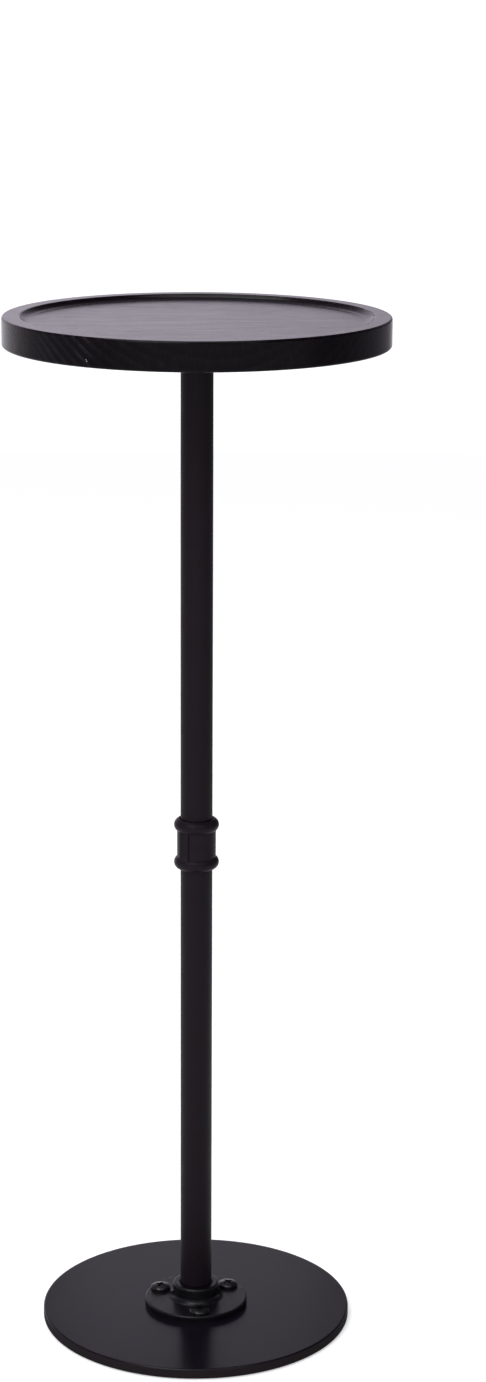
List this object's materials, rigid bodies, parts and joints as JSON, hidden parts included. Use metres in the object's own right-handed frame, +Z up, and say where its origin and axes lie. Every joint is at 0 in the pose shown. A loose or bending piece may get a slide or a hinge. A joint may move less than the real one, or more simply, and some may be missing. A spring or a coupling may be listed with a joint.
{
  "type": "wine table",
  "caption": "Small round drinks table: a rimmed black wooden tray on a slim pole of threaded pipe with a banded coupling, flange-screwed to a round steel base plate.",
  "frame": {"origin": "on the floor, under the middle of the base and on the pole's axis", "axes": "+Z up along the pole; -Y is the side that one screw of each flange faces"},
  "size_m": [0.25, 0.25, 0.69],
  "materials": {
    "stained_wood": "turned wood, stained black, satin lacquer",
    "black_pipe": "satin black coating on steel pipe",
    "cast_fitting": "satin black coating on malleable castings",
    "black_screw": "black-plated steel",
    "base_coat": "smooth satin black powder coat on steel plate",
    "pad_rubber": "matt black"
  },
  "bodies": {
    "base": {"floor_pads": "pad_rubber", "base_plate": "base_coat", "base_flange": "cast_fitting", "base_screws": "black_screw", "lower_pipe": "black_pipe", "pipe_coupling": "cast_fitting"},
    "upper_pole": {"upper_pipe": "black_pipe"},
    "tray": {"tray_flange": "cast_fitting", "tray_screws": "black_screw", "tray_top": "stained_wood"}
  },
  "joints": [
    {"name": "upper_pole_rise", "type": "slide", "parent": "base", "child": "upper_pole", "axis": [0, 0, 1], "range_m": [0, 0.0127]},
    {"name": "tray_unscrew", "type": "hinge", "parent": "upper_pole", "child": "tray", "pos_m": [0, 0, 0.66], "axis": [0, 0, 1], "range_deg": [0, 2520]}
  ],
  "couplings": [
    {"joint": "upper_pole_rise", "follows": "tray_unscrew", "m_per_rad": 0.00028871}
  ]
}
